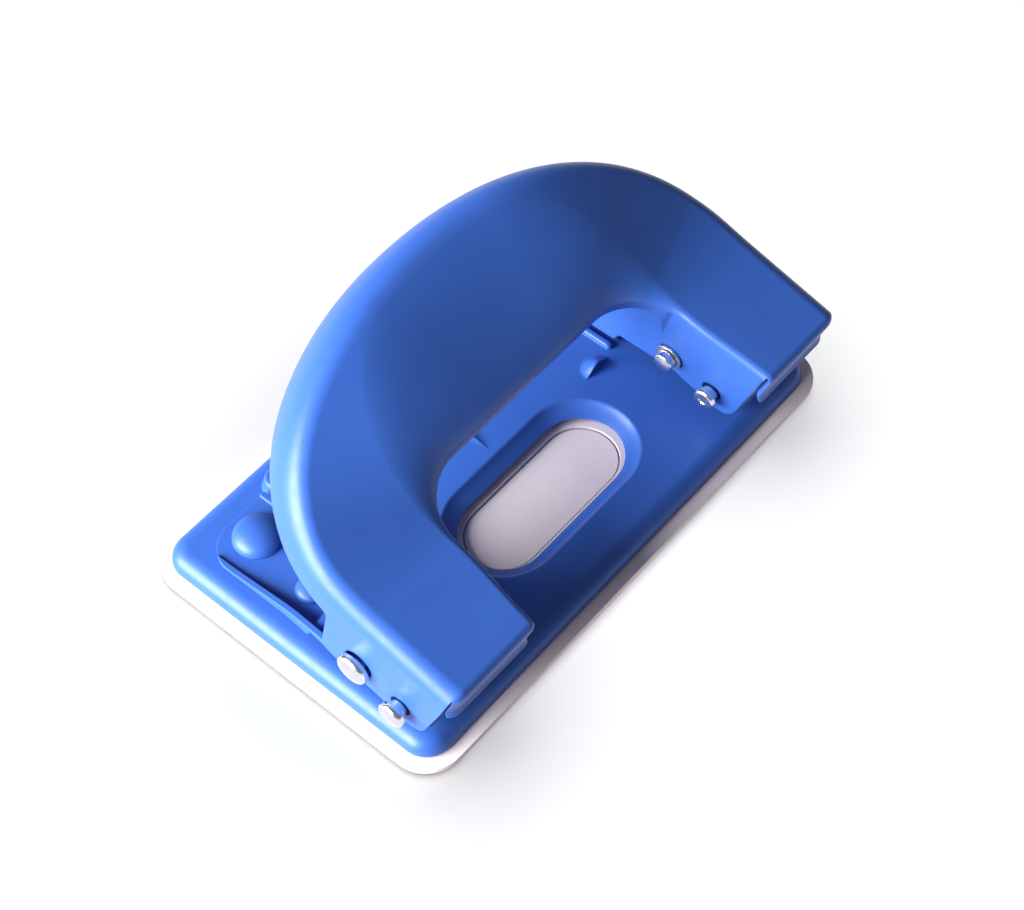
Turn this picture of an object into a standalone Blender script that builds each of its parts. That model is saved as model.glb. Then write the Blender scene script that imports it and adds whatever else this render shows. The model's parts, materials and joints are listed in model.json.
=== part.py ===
"""Two-hole paper punch: pressed steel base and handle, plastic chip tray, two punch units.

All sizes below are in millimetres; MM turns them into metres where a mesh is made.
X runs along the base, Y from the front edge to the back, Z up from the table.
The origin is at the bottom centre of the whole object at rest (handle up).
"""

from math import cos, hypot, pi, radians, sin

import bmesh
import bpy
from mathutils import Matrix

MM = 0.001
GAP = 0.3

# Base plate: a shallow pressed pan.
BASE_LENGTH = 102.0
BASE_WIDTH = 60.9
BASE_CORNER = 4.8
BASE_TOP = 5.7
BASE_SHEET = 1.0
RIM_BOTTOM = 2.6
RIM_ROUND = 2.8
FRONT = -29.11
BACK = FRONT + BASE_WIDTH

# Oval finger hole through the base, in the middle of a shallow dish.
OVAL_Y = FRONT + 19.7
OVAL_HALF_LENGTH = 18.0
OVAL_HALF_WIDTH = 7.75
OVAL_LIP = 2.0
# The dish from its edge inwards: distance outside the hole, depth under the top.
OVAL_DISH = ((3.0, 0.0), (2.2, 0.9), (1.1, 1.5), (0.0, OVAL_LIP))

# Raised stiffening panel between the two brackets, along the back.
PANEL_HALF_LENGTH = 31.3
PANEL_FRONT = FRONT + 47.0
PANEL_BACK = FRONT + 57.4
PANEL_RISE = 2.4
PANEL_CORNER = 3.0

# Chip tray: a foot, a thin rim that shows all round the base, an upstand inside the
# base, and a well under the oval.
TRAY_RIM = 2.2
TRAY_RIM_TOP = 2.2
TRAY_RIM_BOTTOM = 1.2
TRAY_FOOT_INSET = 1.6
TRAY_FLOOR = 1.2
TRAY_WALL = 1.2
TRAY_UPSTAND = 3.6
TRAY_UPSTAND_INSET = 1.6

# Punch units, one at each end: 80 mm apart, 12 mm from the paper stops.
PUNCH_X = 40.0
PUNCH_Y = FRONT + 15.9
PUNCH_RADIUS = 2.9
PUNCH_TOP = 20.0
DIE_BORE = 3.05
DIE_RADIUS = 4.6
DIE_FLANGE = 5.8
DIE_BOTTOM = 3.3
SLOT_TOP = 8.0
STROKE = 3.8
PAPER_STOP_X = 25.4
PAPER_STOP_Y = FRONT + 28.2
PAPER_STOP_SIZE = (2.9, 3.6, 1.9)

# Bracket: a pressed channel that carries both pins of one punch unit.
BRACKET_INNER_X = 31.7
BRACKET_OUTER_X = 47.8
BRACKET_SHEET = 1.0
SLOT_BACK = 29.0
BRACKET_BACK = 54.6
BRACKET_BEND = 0.8
OUTER_WALL_BACK = 22.0
FOOT_BOTTOM = BASE_TOP + GAP
FOOT_WALL_TOP = 7.9
FOOT_WALL_FALL = 0.12
OUTER_STEP_TOP = 10.4
GUIDE_HOLE_RADIUS = 3.2
RIVET_HOLE_RADIUS = 2.1
RIVET_BACK = (38.8, FRONT + 49.0)
RIVET_FRONT = (40.6, FRONT + 35.0)

# Handle: one pressed shell with a channel-shaped shoe at each end. Its own frame has
# the hinge pin's axis as origin and is tilted back by OPEN_ANGLE at rest.
HINGE_Y = FRONT + 7.0
HINGE_Z = 12.4
OPEN_ANGLE = radians(20)
SHEET = 1.0
SHOE_INNER_X = 30.3
SHOE_OUTER_X = 49.2
SHOE_FRONT = -7.0
SHOE_TOP = 14.57
SHOE_TOP_Y = 14.0
SHOE_FALL = 0.07
SHOE_FALL_END = 25.0
SHOE_ROUND = 3.3
SHOE_EDGE_FRONT_X = 29.6
SHOE_EDGE_BACK_X = 28.3
FRONT_SKIRT_BOTTOM = 8.3
CROWN_TOP = 23.3
CROWN_INNER_EDGE = 15.5
CROWN_OUTER_EDGE = 8.9
ARCH_START = 17.3
ARCH_DEPTH = 35.8
ARCH_POWER = 2.11
OPENING_BACK = 21.2
OPENING_CORNER = 10.7
SKIRT_BOTTOM = 8.6
CROSS_PIN_Y = 9.36
CROSS_PIN_Z = -0.3

# Pins and spring.
HINGE_PIN_RADIUS = 1.5
HINGE_HEAD_RADIUS = 2.1
CROSS_PIN_RADIUS = 1.9
CROSS_HEAD_RADIUS = 3.0
PIN_PROUD = 2.9
CROSS_HEAD_PROUD = 1.9
WIRE_RADIUS = 0.45
COIL_RADIUS = 2.45
COIL_TURNS = 3.29
COIL_STEPS = 14
UPPER_LEG = 14.4


def clear_scene():
    for obj in list(bpy.data.objects):
        bpy.data.objects.remove(obj, do_unlink=True)


def collection(name):
    made = bpy.data.collections.new(name)
    bpy.context.scene.collection.children.link(made)
    return made


def material(name, colour, roughness, metallic=0.0):
    made = bpy.data.materials.new(name)
    made.use_nodes = True
    shader = made.node_tree.nodes["Principled BSDF"]
    shader.inputs["Base Color"].default_value = (*colour, 1.0)
    shader.inputs["Roughness"].default_value = roughness
    shader.inputs["Metallic"].default_value = metallic
    made.diffuse_color = (*colour, 1.0)
    return made


def link(obj, where, look=None):
    where.objects.link(obj)
    if look:
        obj.data.materials.append(look)
    return obj


def mesh_object(name, bm, where, look=None):
    """An object from a bmesh whose points are in millimetres."""
    bmesh.ops.scale(bm, vec=(MM, MM, MM), verts=bm.verts)
    mesh = bpy.data.meshes.new(name)
    bm.to_mesh(mesh)
    bm.free()
    return link(bpy.data.objects.new(name, mesh), where, look)


def shade(obj):
    obj.data.shade_smooth()
    obj.data.set_sharp_from_angle(angle=radians(35))
    return obj


def arc(centre, radius, start, end, steps):
    """Points on a circle arc, angles in degrees."""
    points = []
    for step in range(steps + 1):
        angle = radians(start + (end - start) * step / steps)
        points.append((centre[0] + radius * cos(angle), centre[1] + radius * sin(angle)))
    return points


def rounded_rectangle(low, high, radius, steps):
    """The outline, anticlockwise from the low corner's end of the bottom side."""
    (x0, y0), (x1, y1) = low, high
    corners = (
        ((x1 - radius, y0 + radius), -90),
        ((x1 - radius, y1 - radius), 0),
        ((x0 + radius, y1 - radius), 90),
        ((x0 + radius, y0 + radius), 180),
    )
    outline = []
    for centre, start in corners:
        outline += arc(centre, radius, start, start + 90, steps)
    return outline


def stadium(centre_y, half_length, half_width, steps):
    straight = half_length - half_width
    right = arc((straight, centre_y), half_width, -90, 90, steps)
    return right + arc((-straight, centre_y), half_width, 90, 270, steps)


def prism(name, outline, low, high, where, look=None, plane="XY"):
    """A flat outline made solid between two heights along the third axis."""
    curve = bpy.data.curves.new(name, "CURVE")
    curve.dimensions = "2D"
    curve.fill_mode = "BOTH"
    curve.extrude = (high - low) / 2 * MM
    spline = curve.splines.new("POLY")
    spline.points.add(len(outline) - 1)
    for point, (across, up) in zip(spline.points, outline):
        point.co = (across * MM, up * MM, 0.0, 1.0)
    spline.use_cyclic_u = True
    guide = bpy.data.objects.new(name + "_outline", curve)
    bpy.context.scene.collection.objects.link(guide)
    middle = (low + high) / 2 * MM
    if plane == "XY":
        guide.matrix_world = Matrix.Translation((0, 0, middle))
    elif plane == "YZ":
        turn = Matrix(((0, 0, 1), (1, 0, 0), (0, 1, 0))).to_4x4()
        guide.matrix_world = Matrix.Translation((middle, 0, 0)) @ turn
    else:
        turn = Matrix(((1, 0, 0), (0, 0, -1), (0, 1, 0))).to_4x4()
        guide.matrix_world = Matrix.Translation((0, middle, 0)) @ turn
    bpy.context.view_layer.update()
    graph = bpy.context.evaluated_depsgraph_get()
    mesh = bpy.data.meshes.new_from_object(guide.evaluated_get(graph))
    bm = bmesh.new()
    bm.from_mesh(mesh)
    bmesh.ops.remove_doubles(bm, verts=bm.verts, dist=1e-6)
    bmesh.ops.transform(bm, matrix=guide.matrix_world, verts=bm.verts)
    bmesh.ops.recalc_face_normals(bm, faces=bm.faces)
    bm.to_mesh(mesh)
    bm.free()
    bpy.data.objects.remove(guide)
    return link(bpy.data.objects.new(name, mesh), where, look)


def cylinder(name, radius, low, high, place, axis, where, look=None, sides=24):
    """A round bar along one axis; place gives the two other coordinates in order."""
    bm = bmesh.new()
    bmesh.ops.create_cone(
        bm, cap_ends=True, segments=sides, radius1=radius, radius2=radius, depth=high - low
    )
    middle = (low + high) / 2
    if axis == "X":
        turn = Matrix.Rotation(pi / 2, 4, "Y")
        shift = Matrix.Translation((middle, place[0], place[1]))
    else:
        turn = Matrix.Identity(4)
        shift = Matrix.Translation((place[0], place[1], middle))
    bmesh.ops.transform(bm, matrix=shift @ turn, verts=bm.verts)
    return mesh_object(name, bm, where, look)


def as_cutter(obj):
    obj.hide_render = True
    obj.display_type = "WIRE"
    return obj


def cut(obj, cutter, operation="DIFFERENCE"):
    boolean = obj.modifiers.new(operation.lower(), "BOOLEAN")
    boolean.operation = operation
    boolean.object = as_cutter(cutter)
    return obj


def thicken(obj, thickness, offset):
    solid = obj.modifiers.new("sheet", "SOLIDIFY")
    solid.thickness = thickness * MM
    solid.offset = offset
    solid.use_even_offset = True
    return obj


def turned(name, profile, where, look, steps=24):
    """A solid of revolution about Z; the profile runs from the top of the axis to its bottom."""
    bm = bmesh.new()
    points = [bm.verts.new((radius, 0, height)) for radius, height in profile]
    for first, second in zip(points, points[1:]):
        bm.edges.new((first, second))
    obj = mesh_object(name, bm, where, look)
    screw = obj.modifiers.new("turned", "SCREW")
    screw.steps = screw.render_steps = steps
    screw.use_merge_vertices = True
    screw.merge_threshold = 1e-5
    screw.use_smooth_shade = True
    return obj


def ring_faces(bm, first, second):
    """A band of quads between two closed rings of the same count."""
    count = len(first)
    for index in range(count):
        following = (index + 1) % count
        bm.faces.new((first[index], first[following], second[following], second[index]))


def ring(bm, outline, height):
    return [bm.verts.new((x, y, height)) for x, y in outline]


def base_outline(inset):
    half = BASE_LENGTH / 2 - inset
    return rounded_rectangle(
        (-half, FRONT + inset), (half, BACK - inset), BASE_CORNER - inset, 6
    )


def base_plate(parts, cutters, look):
    """Top sheet, rounded rim all round and the dish of the oval, as one open surface."""
    bm = bmesh.new()
    rings = [ring(bm, base_outline(0), RIM_BOTTOM)]
    for inset, rise in arc((RIM_ROUND, BASE_TOP - RIM_ROUND), RIM_ROUND, 180, 90, 4):
        rings.append(ring(bm, base_outline(inset), rise))
    for lower, upper in zip(rings, rings[1:]):
        ring_faces(bm, lower, upper)
    lip = []
    for spread, depth in OVAL_DISH:
        outline = stadium(OVAL_Y, OVAL_HALF_LENGTH + spread, OVAL_HALF_WIDTH + spread, 10)
        lip.append(ring(bm, outline, BASE_TOP - depth))
    for upper, lower in zip(lip, lip[1:]):
        ring_faces(bm, upper, lower)
    edges = []
    for loop in (rings[-1], lip[0]):
        for first, second in zip(loop, loop[1:] + loop[:1]):
            edges.append(bm.edges.get((first, second)))
    bmesh.ops.triangle_fill(bm, use_beauty=True, edges=edges, normal=(0, 0, 1))
    bmesh.ops.recalc_face_normals(bm, faces=bm.faces)
    if sum(face.normal.z * face.calc_area() for face in bm.faces) < 0:
        bmesh.ops.reverse_faces(bm, faces=bm.faces)
    plate = thicken(mesh_object("base_plate", bm, parts, look), BASE_SHEET, -1)
    for side, label in ((-1, "left"), (1, "right")):
        hole = cylinder(
            f"die_seat_{label}", DIE_RADIUS + GAP, 0, 12, (side * PUNCH_X, PUNCH_Y), "Z", cutters
        )
        cut(plate, hole)
        for spot, (x, y) in (("back", RIVET_BACK), ("front", RIVET_FRONT)):
            name = f"rivet_hole_{spot}_{label}"
            hole = cylinder(name, RIVET_HOLE_RADIUS, 3, 7, (side * x, y), "Z", cutters, sides=16)
            cut(plate, hole)
        cut(plate, paper_stop(f"paper_stop_{label}", side * PAPER_STOP_X, cutters), "UNION")
    cut(plate, back_plateau(cutters), "UNION")
    return plate


def paper_stop(name, x, cutters):
    """A half-dome lanced up from the sheet, upright on the side that the paper meets."""
    bm = bmesh.new()
    bmesh.ops.create_uvsphere(bm, u_segments=14, v_segments=8, radius=1.0)
    bmesh.ops.scale(bm, vec=PAPER_STOP_SIZE, verts=bm.verts)
    whole = list(bm.verts) + list(bm.edges) + list(bm.faces)
    for point, normal in (((0, 0, 0), (0, -1, 0)), ((0, 0, -0.6), (0, 0, -1))):
        made = bmesh.ops.bisect_plane(
            bm, geom=whole, plane_co=point, plane_no=normal, clear_outer=True
        )
        rim = [item for item in made["geom_cut"] if isinstance(item, bmesh.types.BMEdge)]
        bmesh.ops.edgeloop_fill(bm, edges=rim)
        whole = list(bm.verts) + list(bm.edges) + list(bm.faces)
    bmesh.ops.recalc_face_normals(bm, faces=bm.faces)
    bmesh.ops.translate(bm, vec=(x, PAPER_STOP_Y, BASE_TOP), verts=bm.verts)
    return mesh_object(name, bm, cutters)


def back_plateau(cutters):
    """The raised stiffening panel between the two brackets, along the back."""
    bm = bmesh.new()
    rings = []
    for inset, rise in ((0.0, -0.5), (0.3, PANEL_RISE - 0.8), (1.1, PANEL_RISE)):
        low = (-PANEL_HALF_LENGTH + inset, PANEL_FRONT + inset)
        high = (PANEL_HALF_LENGTH - inset, PANEL_BACK - inset)
        outline = rounded_rectangle(low, high, PANEL_CORNER - inset, 3)
        rings.append(ring(bm, outline, BASE_TOP + rise))
    for lower, upper in zip(rings, rings[1:]):
        ring_faces(bm, lower, upper)
    bm.faces.new(rings[-1])
    bm.faces.new(reversed(rings[0]))
    bmesh.ops.recalc_face_normals(bm, faces=bm.faces)
    return mesh_object("back_plateau", bm, cutters)


def tray_outline(spread):
    half = BASE_LENGTH / 2 + spread
    low = (-half, FRONT - spread)
    return rounded_rectangle(low, (half, BACK + spread), BASE_CORNER + spread, 6)


def chip_tray(parts, cutters, look):
    """Rim on a smaller foot, hollowed inside the upstand, with a well under the oval."""
    tray = prism(
        "chip_tray", tray_outline(TRAY_RIM), TRAY_RIM_BOTTOM, TRAY_RIM_TOP, parts, look
    )
    foot = tray_outline(TRAY_RIM - TRAY_FOOT_INSET)
    cut(tray, prism("tray_foot", foot, 0, TRAY_RIM_BOTTOM + 0.2, cutters), "UNION")
    inset = TRAY_UPSTAND_INSET
    upstand = prism("tray_upstand", base_outline(inset), 0.5, TRAY_UPSTAND, cutters)
    hollow = prism(
        "tray_hollow", base_outline(inset + TRAY_WALL), TRAY_FLOOR, 8, cutters
    )
    wall = stadium(OVAL_Y, OVAL_HALF_LENGTH + 1.5, OVAL_HALF_WIDTH + 1.5, 10)
    well_top = BASE_TOP - OVAL_LIP - BASE_SHEET - GAP
    well = prism("tray_well_wall", wall, 0.5, well_top, cutters)
    inside = stadium(OVAL_Y, OVAL_HALF_LENGTH + 0.4, OVAL_HALF_WIDTH + 0.4, 10)
    window = prism("tray_well", inside, TRAY_FLOOR + 0.001, 8, cutters)
    cut(tray, upstand, "UNION")
    cut(tray, hollow)
    cut(tray, well, "UNION")
    cut(tray, window)
    return tray


def wall_top(y):
    """Height of a bracket wall's edge, from its distance behind the base's front edge."""
    shape = (
        (2.5, 15.5), (5.0, 18.5), (9.0, 21.0), (13.2, 22.8), (18.7, 23.6), (21.6, 23.2),
        (25.0, 21.0), (28.6, 17.2), (30.2, 15.0), (33.0, 11.2), (35.4, FOOT_WALL_TOP),
    )
    for (y0, z0), (y1, z1) in zip(shape, shape[1:]):
        if y <= y1:
            return z0 + (z1 - z0) * (y - y0) / (y1 - y0)
    return FOOT_WALL_TOP


def outer_wall_top(y):
    """The outer wall steps down behind the pins and falls slowly along the foot."""
    if y < OUTER_WALL_BACK:
        return wall_top(y)
    return max(OUTER_STEP_TOP - FOOT_WALL_FALL * (y - OUTER_WALL_BACK), FOOT_WALL_TOP)


def bracket(side, label, parts, cutters, look):
    """One folded sheet: channel over the paper slot, stepped down to a foot behind it."""
    stations = (2.5, 5.0, 9.0, 13.2, 18.7, 21.6, 25.0, 28.6, 30.2, 33.0, 35.4, 46.0)
    inner = BRACKET_INNER_X
    outer = BRACKET_OUTER_X
    bm = bmesh.new()
    rows = []
    for distance in (*stations, BRACKET_BACK):
        over_slot = distance < SLOT_BACK
        floor = SLOT_TOP if over_slot else FOOT_BOTTOM
        top = wall_top(distance)
        bend = BRACKET_BEND
        section = [(inner, top), (inner, floor + bend), (inner + bend, floor)]
        section += [(outer - bend, floor), (outer, floor + bend)]
        section.append((outer, outer_wall_top(distance)))
        row = [bm.verts.new((side * x, FRONT + distance, z)) for x, z in section]
        rows.append(row)
    for first, second in zip(rows, rows[1:]):
        for index in range(len(first) - 1):
            bm.faces.new((first[index], first[index + 1], second[index + 1], second[index]))
    bmesh.ops.recalc_face_normals(bm, faces=bm.faces)
    web = [face for face in bm.faces if abs(face.normal.z) > 0.9]
    if web[0].normal.z > 0:
        bmesh.ops.reverse_faces(bm, faces=bm.faces)
    made = thicken(
        mesh_object(f"bracket_{label}", bm, parts, look), BRACKET_SHEET, -1
    )
    x = side * PUNCH_X
    guide = (x, PUNCH_Y)
    cut(made, cylinder(f"guide_hole_{label}", GUIDE_HOLE_RADIUS, 6, 12, guide, "Z", cutters))
    span = sorted((side * (inner - 3), side * (outer + 3)))
    pin = HINGE_PIN_RADIUS + 0.15
    name = f"bracket_pin_hole_{label}"
    cut(made, cylinder(name, pin, *span, (HINGE_Y, HINGE_Z), "X", cutters, sides=20))
    reach = CROSS_PIN_RADIUS + 0.2
    height = cross_pin_height()
    slot = arc((PUNCH_Y, height), reach, 0, 180, 8)
    slot += arc((PUNCH_Y, height - STROKE), reach, 180, 360, 8)
    cut(made, prism(f"cross_slot_{label}", slot, *span, cutters, plane="YZ"))
    for spot, (x, y) in (("back", RIVET_BACK), ("front", RIVET_FRONT)):
        name = f"foot_hole_{spot}_{label}"
        hole = cylinder(name, RIVET_HOLE_RADIUS, 5, 8, (side * x, y), "Z", cutters, sides=16)
        cut(made, hole)
    return made


def cross_pin_height():
    return HINGE_Z + CROSS_PIN_Y * sin(OPEN_ANGLE) + CROSS_PIN_Z * cos(OPEN_ANGLE)


def smooth(amount):
    amount = min(max(amount, 0.0), 1.0)
    return amount * amount * (3 - 2 * amount)


def mix(first, second, amount):
    return first + (second - first) * amount


def opening_point(fraction):
    """Inner edge of the arch in plan: round the shoe's corner, then across."""
    straight = SHOE_EDGE_BACK_X - OPENING_CORNER
    quarter = OPENING_CORNER * pi / 2
    along = fraction * (quarter + straight)
    if along < quarter:
        angle = along / OPENING_CORNER
        y = OPENING_BACK - OPENING_CORNER * (1 - sin(angle))
        return straight + OPENING_CORNER * cos(angle), y
    return straight - (along - quarter), OPENING_BACK


def arch_point(fraction):
    """Outer edge of the arch in plan: a short straight, then a squarish ellipse quarter."""
    start = OPENING_BACK - OPENING_CORNER
    straight = 0.1
    if fraction < straight:
        return SHOE_OUTER_X, mix(start, ARCH_START, fraction / straight)
    angle = (fraction - straight) / (1 - straight) * pi / 2
    x = SHOE_OUTER_X * max(cos(angle), 0.0) ** (2 / ARCH_POWER)
    return x, ARCH_START + ARCH_DEPTH * sin(angle) ** (2 / ARCH_POWER)


def shoe_top(y):
    """The shoe's flat top falls a little towards the back, where the arch rises from it."""
    return SHOE_TOP + SHOE_FALL * (SHOE_TOP_Y - min(y, SHOE_FALL_END))


def section(inner, outer, amount, flange_foot, skirt_low, steps):
    """Points across the shell, from the inner lower edge over the top to the outer one.

    amount is 0 in the shoe, which is flat with small rounds, and 1 in the arch's crown.
    """
    width = hypot(outer[0] - inner[0], outer[1] - inner[1])
    inner_span = mix(SHOE_ROUND / width, 0.8, amount)
    outer_span = mix(SHOE_ROUND / width, 0.19, amount)
    inner_power = mix(2.0, 1.45, amount)
    outer_power = mix(2.0, 2.2, amount)
    flat = shoe_top(outer[1])
    inner_edge = mix(flat - SHOE_ROUND, CROWN_INNER_EDGE, amount)
    outer_edge = mix(flat - SHOE_ROUND, CROWN_OUTER_EDGE, amount)
    top = mix(flat, CROWN_TOP, amount)
    profile = []
    for step in range(steps + 1):
        angle = step / steps * pi / 2
        across = inner_span * (1 - cos(angle) ** (2 / inner_power))
        height = mix(inner_edge, top, sin(angle) ** (2 / inner_power))
        profile.append((across, height))
    for step in range(steps, -1, -1):
        angle = step / steps * pi / 2
        across = 1 - outer_span * (1 - cos(angle) ** (2 / outer_power))
        height = mix(outer_edge, top, sin(angle) ** (2 / outer_power))
        profile.append((across, height))
    profile.append((1.0, skirt_low))
    points = [flange_foot]
    for across, height in profile:
        x = mix(inner[0], outer[0], across)
        y = mix(inner[1], outer[1], across)
        points.append((x, y, height))
    return points


def handle_rows(bm, steps):
    """Sections from the front of the shoe to the middle plane, in the handle's own frame."""
    rows = []
    fan_start = OPENING_BACK - OPENING_CORNER
    shoe = (
        (-6.5, 11.4), (-5.8, 8.6), (-5.2, -1.4), (-3.1, -3.5), (1.9, -3.7), (5.9, -4.1),
    )
    for y, low in shoe:
        narrowing = smooth((y - SHOE_FRONT) / (fan_start - SHOE_FRONT))
        x = mix(SHOE_EDGE_FRONT_X, SHOE_EDGE_BACK_X, narrowing)
        foot = (SHOE_INNER_X, y, low)
        rows.append(section((x, y), (SHOE_OUTER_X, y), 0.0, foot, low, steps))
    fan = (
        (0.0, -5.1, -3.9), (0.04, -5.3, -3.1), (0.08, -4.4, 4.2), (0.1, 2.6, 7.1),
        (0.115, 7.0, 8.8), (0.14, 7.1, 10.0), (0.2, 7.6, 10.3), (0.28, 8.1, 10.8),
        (0.38, 8.5, 11.2), (0.5, SKIRT_BOTTOM, 11.5), (0.62, SKIRT_BOTTOM, 11.7),
        (0.75, SKIRT_BOTTOM, 11.7), (0.87, SKIRT_BOTTOM, 11.7), (1.0, SKIRT_BOTTOM, 11.7),
    )
    for fraction, outer_low, inner_low in fan:
        x, y = opening_point(fraction)
        foot_x = max(x, mix(SHOE_INNER_X, x, smooth(inner_low / OPENING_CORNER)))
        amount = smooth(fraction / 0.83)
        foot = (foot_x, y, inner_low)
        rows.append(section((x, y), arch_point(fraction), amount, foot, outer_low, steps))
    return [[bm.verts.new(point) for point in row] for row in rows]


def handle(parts, cutters, look, axis):
    bm = bmesh.new()
    rows = handle_rows(bm, 4)
    for first, second in zip(rows, rows[1:]):
        for index in range(len(first) - 1):
            bm.faces.new((first[index], first[index + 1], second[index + 1], second[index]))
    bmesh.ops.recalc_face_normals(bm, faces=bm.faces)
    if sum(face.normal.z * face.calc_area() for face in bm.faces) < 0:
        bmesh.ops.reverse_faces(bm, faces=bm.faces)
    shell = mesh_object("handle", bm, parts, look)
    mirror = shell.modifiers.new("other half", "MIRROR")
    mirror.merge_threshold = 1e-5
    thicken(shell, SHEET, -1)
    shell.parent = axis
    for side, label in ((-1, "left"), (1, "right")):
        for helper, operation in handle_cutters(side, label, cutters):
            helper.parent = axis
            cut(shell, helper, operation)
    return shell


def handle_cutters(side, label, cutters):
    """The skirt that closes the front of a shoe, and the holes for its two pins."""
    low, high = sorted((side * (SHOE_EDGE_FRONT_X + 1.2), side * (SHOE_OUTER_X - 1.2)))
    top = shoe_top(SHOE_FRONT) - 0.35
    outline = [(low, FRONT_SKIRT_BOTTOM), (high, FRONT_SKIRT_BOTTOM)]
    outline += arc((high - 2.2, top - 2.2), 2.2, 0, 90, 4)
    outline += arc((low + 2.2, top - 2.2), 2.2, 90, 180, 4)
    name = f"front_skirt_{label}"
    skirt = prism(name, outline, SHOE_FRONT, SHOE_FRONT + SHEET, cutters, plane="XZ")
    span = sorted((side * (SHOE_INNER_X - 2), side * (SHOE_OUTER_X + 2)))
    pin = HINGE_PIN_RADIUS + 0.2
    hinge = cylinder(f"hinge_hole_{label}", pin, *span, (0, 0), "X", cutters, sides=20)
    reach = CROSS_PIN_RADIUS + 0.3
    slot = arc((CROSS_PIN_Y + 0.3, CROSS_PIN_Z), reach, -90, 90, 8)
    slot += arc((CROSS_PIN_Y - 0.6, CROSS_PIN_Z), reach, 90, 270, 8)
    cross = prism(f"cross_hole_{label}", slot, *span, cutters, plane="YZ")
    return (skirt, "UNION"), (hinge, "DIFFERENCE"), (cross, "DIFFERENCE")


def along_x(obj, x, y, z, side):
    """Lays a turned pin along X, its top end outwards."""
    obj.location = (x * MM, y * MM, z * MM)
    obj.rotation_euler = (0, side * pi / 2, 0)
    return obj


def hinge_pin(side, label, parts, look):
    """Shaft through four walls; both ends are headed over a short neck."""
    inner = SHOE_INNER_X - PIN_PROUD
    outer = SHOE_OUTER_X + PIN_PROUD
    radius = HINGE_PIN_RADIUS
    head = HINGE_HEAD_RADIUS
    profile = [(0, outer), (1.5, outer - 0.25), (head + 0.4, outer - 0.8)]
    profile += [(head + 0.4, outer - 1.4), (radius, outer - 1.5)]
    profile += [(radius, inner + 1.2), (head, inner + 1.1), (head, inner + 0.4)]
    profile += [(1.3, inner), (0, inner)]
    pin = turned(f"hinge_pin_{label}", profile, parts, look, steps=20)
    return along_x(pin, 0, HINGE_Y, HINGE_Z, side)


def cross_pin(side, label, parts, look):
    """Drives the punch: headed outside, grooved for a clip at its inner end."""
    inner = SHOE_INNER_X - PIN_PROUD
    outer = SHOE_OUTER_X + CROSS_HEAD_PROUD
    radius = CROSS_PIN_RADIUS
    head = CROSS_HEAD_RADIUS
    profile = [(0, outer), (head - 0.9, outer - 0.25), (head, outer - 0.8), (head, outer - 1.5)]
    profile += [(radius, outer - 1.6), (radius, inner + 2.3), (1.35, inner + 2.2)]
    profile += [(1.35, inner + 1.5), (radius, inner + 1.4), (radius, inner + 0.3)]
    profile += [(1.6, inner), (0, inner)]
    pin = turned(f"cross_pin_{label}", profile, parts, look, steps=20)
    return along_x(pin, 0, PUNCH_Y, cross_pin_height(), side)


def pin_clip(side, label, parts, look):
    """Snap ring in the groove of the cross pin, open on one side."""
    middle = side * (SHOE_INNER_X - PIN_PROUD + 1.85)
    height = cross_pin_height()
    outline = arc((PUNCH_Y, height), 2.6, -60, 240, 16)
    outline += arc((PUNCH_Y, height), 1.6, 240, -60, 16)
    low, high = middle - 0.25, middle + 0.25
    return prism(f"cross_pin_clip_{label}", outline, low, high, parts, look, plane="YZ")


def punch(side, label, parts, cutters, look):
    """Round punch, hollow-ground at its cutting end, drilled for the cross pin."""
    tip = SLOT_TOP + 0.4
    profile = [(0, PUNCH_TOP), (2.3, PUNCH_TOP), (PUNCH_RADIUS, PUNCH_TOP - 0.6)]
    profile += [(PUNCH_RADIUS, tip), (1.4, tip + 0.7), (0, tip + 0.9)]
    made = turned(f"punch_{label}", profile, parts, look, steps=24)
    made.location = (side * PUNCH_X * MM, PUNCH_Y * MM, 0)
    span = sorted((side * (PUNCH_X - 5), side * (PUNCH_X + 5)))
    place = (PUNCH_Y, cross_pin_height())
    name = f"cross_drilling_{label}"
    return cut(made, cylinder(name, CROSS_PIN_RADIUS + 0.2, *span, place, "X", cutters))


def return_spring(side, label, parts, look):
    """Torsion spring on the hinge pin: one leg on the bracket's web, one up under the shell."""
    first_x = BRACKET_INNER_X + BRACKET_SHEET + GAP + WIRE_RADIUS + 0.1
    pitch = 2 * WIRE_RADIUS + 0.12
    floor_leg = HINGE_Z - COIL_RADIUS
    points = [(first_x, HINGE_Y + 6.5, floor_leg), (first_x, HINGE_Y + 3.0, floor_leg)]
    count = round(COIL_TURNS * COIL_STEPS)
    for index in range(count + 1):
        turn = COIL_TURNS * index / count
        angle = -pi / 2 - turn * 2 * pi
        y = HINGE_Y + COIL_RADIUS * cos(angle)
        points.append((first_x + turn * pitch, y, HINGE_Z + COIL_RADIUS * sin(angle)))
    last_x, last_y, last_z = points[-1]
    for reach in (UPPER_LEG / 2, UPPER_LEG):
        y = last_y + reach * sin(angle)
        points.append((last_x, y, last_z - reach * cos(angle)))
    name = f"return_spring_{label}"
    curve = bpy.data.curves.new(name, "CURVE")
    curve.dimensions = "3D"
    curve.bevel_depth = WIRE_RADIUS * MM
    curve.bevel_resolution = 2
    curve.use_fill_caps = True
    spline = curve.splines.new("POLY")
    spline.points.add(len(points) - 1)
    for point, (x, y, z) in zip(spline.points, points):
        point.co = (side * x * MM, y * MM, z * MM, 1.0)
    return link(bpy.data.objects.new(name, curve), parts, look)


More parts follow.
